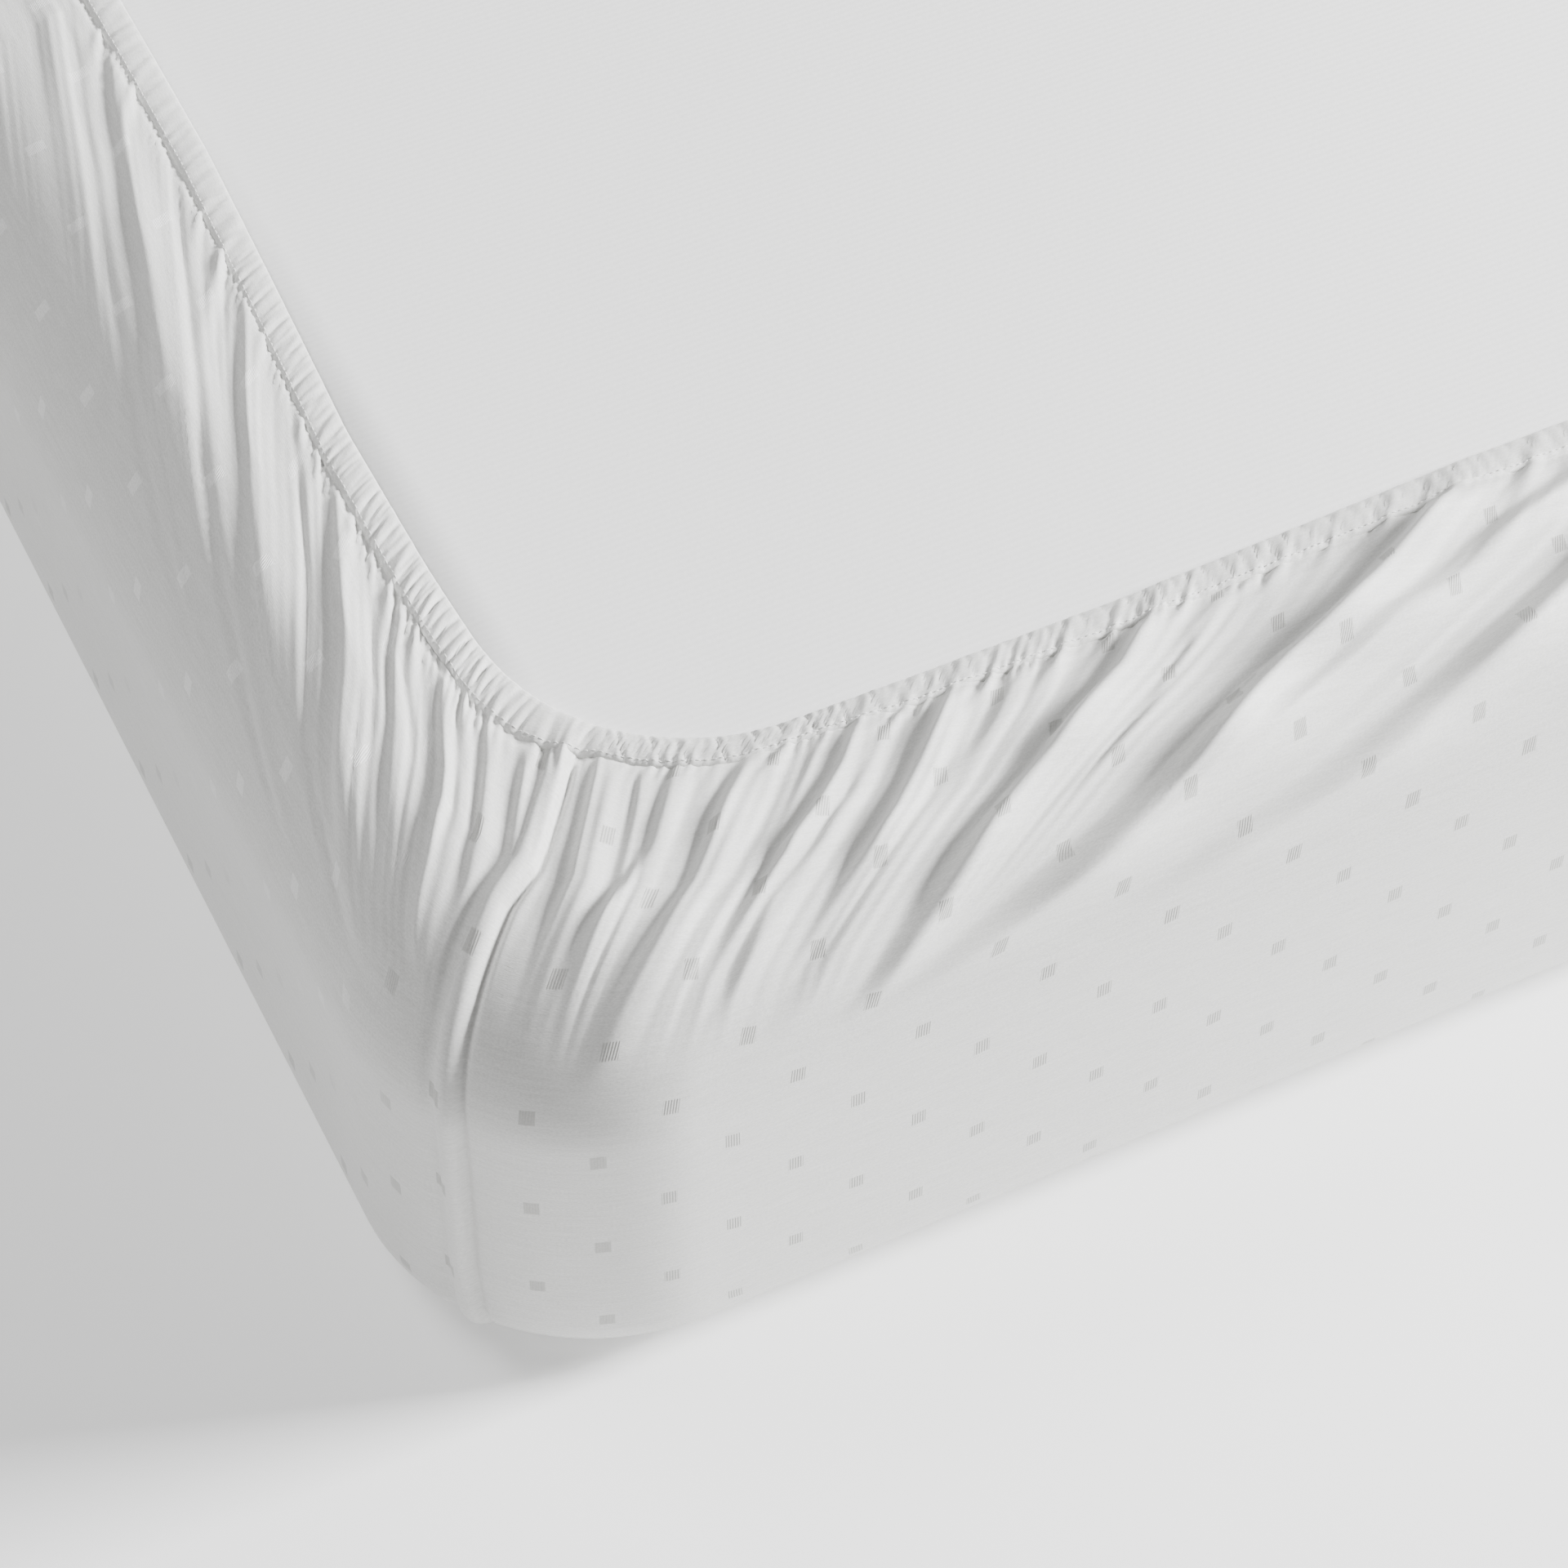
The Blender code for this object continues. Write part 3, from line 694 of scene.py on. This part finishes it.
def sateen(name, dotted):
    """Mercerised cotton sateen: long threads lie side by side 0.35 mm apart and shine softly.

    The woven dots turn the weave over, so their threads cross the ground's as fine ribs; their tone is
    painted sheen, darker on a side and lighter on an end.
    """
    material, tree, shader = new_material(name, 0.52, 0.25, 0.4)
    shader.inputs["Specular IOR Level"].default_value = 0.35
    shader.inputs["Anisotropic"].default_value = 0.45
    cloth = add(tree, "ShaderNodeUVMap", {"uv_map": "cloth"}).outputs[0]
    vector = "ShaderNodeVectorMath"
    lie = calculate(tree, vector, "MULTIPLY", cloth, (350.0, 2800.0, 1.0))
    threads = add(tree, "ShaderNodeTexNoise", Vector=lie, Scale=1.0, Detail=3.0, Roughness=0.6)
    slubs = calculate(tree, vector, "MULTIPLY", cloth, (60.0, 700.0, 1.0))
    slub = add(tree, "ShaderNodeTexNoise", Vector=slubs, Scale=1.0, Detail=2.0)
    tone = add(tree, "ShaderNodeMix", {"data_type": "RGBA"}, in0=slub.outputs["Fac"])
    tone.inputs[6].default_value = linear("#d4d4d1")
    tone.inputs[7].default_value = linear("#ebebe9")
    colour, height = tone.outputs[2], threads.outputs["Fac"]
    if dotted:
        place = add(tree, "ShaderNodeUVMap", {"uv_map": "dots"}).outputs[0]
        away = []
        for shift in (0.5, 0.0):
            moved = calculate(tree, vector, "ADD", place, (shift, shift, 0.0))
            part = add(tree, vector, {"operation": "FRACTION"}, in0=moved).outputs[0]
            centred = calculate(tree, vector, "SUBTRACT", part, (0.5, 0.5, 0.0))
            halves_in_step = (SIZING_STEP_WIDE / DOT_WIDE * 2, SIZING_STEP_TALL / DOT_TALL * 2, 0.0)
            scaled = calculate(tree, vector, "MULTIPLY", centred, halves_in_step)
            size = add(tree, vector, {"operation": "ABSOLUTE"}, in0=scaled)
            sides = add(tree, "ShaderNodeSeparateXYZ", in0=size.outputs[0]).outputs
            away.append(calculate(tree, "ShaderNodeMath", "MAXIMUM", sides[0], sides[1]))
        nearest = calculate(tree, "ShaderNodeMath", "MINIMUM", away[0], away[1])
        mask = add(tree, "ShaderNodeMapRange", Value=nearest, From_Min=1.08, From_Max=0.92).outputs[0]
        ribs = add(tree, "ShaderNodeTexWave", {"bands_direction": "X"},
                   Vector=cloth, Scale=300.0, Distortion=0.4).outputs["Fac"]
        # Painted sheen: the dots are painted darker than the ground on a long side and lighter on an end,
        # as the satin catches the light across the ends and loses it along the sides.
        turned = add(tree, "ShaderNodeAttribute", {"attribute_name": "turned"})
        dot_sheen_colour = add(tree, "ShaderNodeMix", {"data_type": "RGBA"}, in0=turned.outputs["Fac"])
        dot_sheen_colour.inputs[6].default_value = linear("#c0c0bd")
        dot_sheen_colour.inputs[7].default_value = linear("#f2f2f0")
        mixed = add(tree, "ShaderNodeMix", {"data_type": "RGBA"},
                    in0=mask, in6=colour, in7=dot_sheen_colour.outputs[2])
        raised = add(tree, "ShaderNodeMix", {"data_type": "FLOAT"}, in0=mask, in2=height, in3=ribs)
        colour, height = mixed.outputs[2], raised.outputs[0]
    weave = calculate(tree, vector, "MULTIPLY", cloth, (900.0, 1700.0, 1.0))
    grain = add(tree, "ShaderNodeTexNoise", Vector=weave, Scale=1.0, Detail=1.0)
    level = add(tree, "ShaderNodeMapRange", Value=grain.outputs["Fac"], From_Min=0.3, From_Max=0.7,
                To_Min=0.92, To_Max=1.08)
    flecked = add(tree, vector, {"operation": "SCALE"}, in0=colour, Scale=level.outputs[0])
    colour = flecked.outputs[0]
    bump = add(tree, "ShaderNodeBump", Strength=0.5, Distance=0.0002, Height=height)
    tree.links.new(colour, shader.inputs["Base Color"])
    tree.links.new(bump.outputs[0], shader.inputs["Normal"])
    return material


cloth = cells_mesh("sheet_cloth", [cloth_patch(*half) for half in halves()])
cloth.data.materials.append(sateen("white_cotton_sateen", True))
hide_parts("fitted_sheet")
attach(cloth, "root")

# ---------------------------------------------------------------- hem casing
# The sheet's own edge turned under into a flat tube over hidden elastic, gathered into
# slanting grooves near each corner. It is the same cloth, stitched along its outer side.
CASING_THICK = 0.0046
CASING_ROWS = 22


def casing_patch(corner, along_x, backwards):
    """Half a side of the tube: rows go once round it, from the stitching over the top and back."""
    steps = [(0.30, 0.0022), (0.50, 0.004)]
    if corner is CORNERS[0]:
        steps = [(0.03, 0.0008), (0.30, 0.0010), (0.56, 0.0016)]
    length = half_of_side(corner, along_x, np.ones(1), FLAP_END, FLAP_SIDE, 0.0)[3]
    places, start = [np.zeros(1)], 0.0
    for end, step in steps + [(length, 0.012)]:
        places.append(np.linspace(start, end, max(2, round((end - start) / step)) + 1)[1:])
        start = end
    places = np.concatenate(places) / length
    table = HEM_ON_SIDE if along_x else HEM_ON_END
    depth = FLAP_SIDE if along_x else FLAP_END
    stitched = row_line(table, places * length / corner["spacing"], 1)[None, :]
    free = row_line(table, places * length / corner["spacing"], 2)[None, :]
    angle = np.linspace(math.pi, -math.pi, CASING_ROWS, endpoint=False)[:, None]
    across = 0.5 + 0.5 * np.sign(np.cos(angle)) * np.abs(np.cos(angle)) ** 0.75
    into = stitched + (free - stitched) * across
    plan, _, along, _ = half_of_side(corner, along_x, places[None, :],
                                     FLAP_END * into, FLAP_SIDE * into, 0.0)
    place = along / corner["spacing"]
    inward = (into - stitched) * depth
    phase = 5.0 * corner["spacing"] + along_x
    lean = 0.9 if along_x else 0.45
    drift = 0.8 * np.sin(place * 53 + phase) + 0.5 * np.sin(place * 141 + 2 * phase)
    pitch = 0.0047 if along_x else 0.0055
    ripple = -np.exp(-((np.sin((place + lean * inward) * math.pi / pitch + drift) / 0.42) ** 2))
    wide = -np.exp(-((np.sin((place + lean * inward) * math.pi / (1.6 * pitch) + 1.4 * drift) / 0.30) ** 2))
    close = 1.0 - smooth((place - 0.07) / 0.07)
    flat_run = 1.0 if along_x else smooth(np.abs(place - 0.018) / 0.012 - 0.4)
    grooves = (0.00075 * close + (0.00005 if along_x else 0.00040)) * ripple + 0.00070 * wide
    grooves = grooves * flat_run * smooth(along / 0.003)
    teeth = np.sin(place * 2 * math.pi / 0.0028) * np.exp(-((across - 0.04) / 0.16) ** 2)
    under_row = tight_start + stitched * depth - SHOULDER_RADIUS
    lifted = cloth_relief(along, under_row, 0.0, corner, along_x) * (0.6 - 0.45 * across)
    top = np.sin(angle) > 0
    body = np.sign(np.sin(angle)) * np.abs(np.sin(angle)) ** 0.8
    height = np.where(top, 1.15 - 0.30 * across, 0.8) * CASING_THICK / 2 * body
    height = height + np.where(top, 1.0, 0.15) * (grooves + 0.00020 * teeth) * np.abs(body)
    points = np.empty(into.shape + (3,))
    points[..., :2] = plan
    points[..., 2] = flap_height - 0.0014 + height + lifted * 0.85
    cloth_at = np.stack([along, inward + 0.0 * along], axis=-1)
    if backwards:
        points, cloth_at = points[:, ::-1], cloth_at[:, ::-1]
    return {"points": points, "uv": cloth_at}


casing = [casing_patch(*half) for half in halves()]
hem = patch_mesh("hem_casing", casing, (), wraps=True)
hem.data.materials.append(sateen("hem_cotton_sateen", False))
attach(hem, "root")

# ---------------------------------------------------------------- hem stitches
# Lockstitch in white cotton thread, 3 mm from needle hole to needle hole. It runs all round
# the casing just inside its outer edge and draws it down onto the flap.
STITCH_PITCH = 0.0030
STITCH_ROW = 3


def build_stitches():
    """Short round bars of thread that dip into the cloth at both ends, along one row of the tube."""
    line = np.concatenate([patch["points"][STITCH_ROW, :-1] for patch in casing])
    closed = np.concatenate([line, line[:1]])
    length = np.concatenate([[0.0], np.cumsum(np.linalg.norm(np.diff(closed, axis=0), axis=1))])
    count = round(length[-1] / STITCH_PITCH)
    centre = (np.arange(count) + 0.5) * length[-1] / count
    offset = np.array([-0.00125, -0.0008, 0.0, 0.0008, 0.00125])
    radius = np.array([0.00010, 0.00023, 0.00026, 0.00023, 0.00010])
    lift = np.array([-0.0003, 0.0000, 0.0001, 0.0000, -0.0003])
    at = centre[:, None] + offset[None, :]
    spots = np.stack([np.interp(at % length[-1], length, closed[:, axis]) for axis in range(3)], axis=-1)
    along = np.gradient(spots, axis=1)
    along /= np.linalg.norm(along, axis=2, keepdims=True)
    sideways = np.cross(along, [0.0, 0.0, 1.0])
    upward = np.cross(sideways, along)
    angle = np.arange(6) * math.pi / 3
    ring = sideways[:, :, None] * np.cos(angle)[:, None] + upward[:, :, None] * np.sin(angle)[:, None]
    points = spots[:, :, None] + upward[:, :, None] * lift[:, None, None] + ring * radius[:, None, None]
    first = np.arange(count)[:, None, None] * 30
    low = first + np.arange(4)[None, :, None] * 6 + np.arange(6)[None, None, :]
    after = first + np.arange(4)[None, :, None] * 6 + (np.arange(6)[None, None, :] + 1) % 6
    quads = np.stack([low, low + 6, after + 6, after], axis=-1).reshape(-1, 4)
    ends = np.concatenate([first[:, 0] + np.arange(6), first[:, 0] + 24 + np.arange(6)[::-1]])
    mesh = bpy.data.meshes.new("hem_stitches")
    mesh.from_pydata(points.reshape(-1, 3).tolist(), [], quads.tolist() + ends.tolist())
    mesh.shade_smooth()
    thing = bpy.data.objects.new("hem_stitches", mesh)
    bpy.context.scene.collection.objects.link(thing)
    return thing


def cotton_thread():
    """White spun cotton thread, matt, with the twist of its plies as a fine slanting bump."""
    material, tree, shader = new_material("white_cotton_thread", 0.7, 0.3, 0.5)
    place = add(tree, "ShaderNodeTexCoord").outputs["Object"]
    twist = add(tree, "ShaderNodeTexNoise", Vector=place, Scale=2500.0, Detail=1.0)
    bump = add(tree, "ShaderNodeBump", Strength=0.4, Distance=0.0001, Height=twist.outputs["Fac"])
    shader.inputs["Base Color"].default_value = linear("#e6e6e4")
    tree.links.new(bump.outputs[0], shader.inputs["Normal"])
    return material


stitches = build_stitches()
stitches.data.materials.append(cotton_thread())
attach(stitches, "root")

# ---------------------------------------------------------------- floor and light
# A white studio floor that glows a little, as a lit sweep does. The key is a soft light low on
# the right; a broad fill high on the left and the pale surroundings open the shadows.
FLOOR_REACH = 9.0
FLOOR_DROP = 0.001
FLOOR_GLOW = 0.34


def build_floor():
    """A flat white floor well wider than the view."""
    mesh = bpy.data.meshes.new("floor")
    signs = [(-1, -1), (1, -1), (1, 1), (-1, 1)]
    corners = [(FLOOR_REACH * x, FLOOR_REACH * y, -FLOOR_DROP) for x, y in signs]
    mesh.from_pydata(corners, [], [(0, 1, 2, 3)])
    thing = bpy.data.objects.new("floor", mesh)
    bpy.context.scene.collection.objects.link(thing)
    material, _, shader = new_material("studio_floor", 0.9, 0.0, 0.5)
    shader.inputs["Emission Color"].default_value = linear("#ffffff")
    shader.inputs["Emission Strength"].default_value = FLOOR_GLOW
    shader.inputs["Base Color"].default_value = linear("#fdfdfd")
    mesh.materials.append(material)
    return thing


def soft_light(name, size, power, place, target):
    """A square soft light of that size facing its target."""
    data = bpy.data.lights.new(name, "AREA")
    data.size = size
    data.energy = power
    light = bpy.data.objects.new(name, data)
    light.location = place
    sight = [t - p for t, p in zip(target, place)]
    flat = math.hypot(sight[0], sight[1])
    light.rotation_euler = (math.atan2(flat, -sight[2]), 0.0, math.atan2(sight[1], sight[0]) - math.pi / 2)
    bpy.context.scene.collection.objects.link(light)


build_floor()
soft_light("key", 1.1, 700.0, (2.80, -1.40, 1.70), aim)
soft_light("fill", 2.0, 110.0, (-2.4, 1.3, 3.7), aim)
world = bpy.data.worlds.new("surroundings")
world.use_nodes = True
world.node_tree.nodes["Background"].inputs["Color"].default_value = (1.0, 1.0, 1.0, 1.0)
world.node_tree.nodes["Background"].inputs["Strength"].default_value = 0.13
bpy.context.scene.world = world
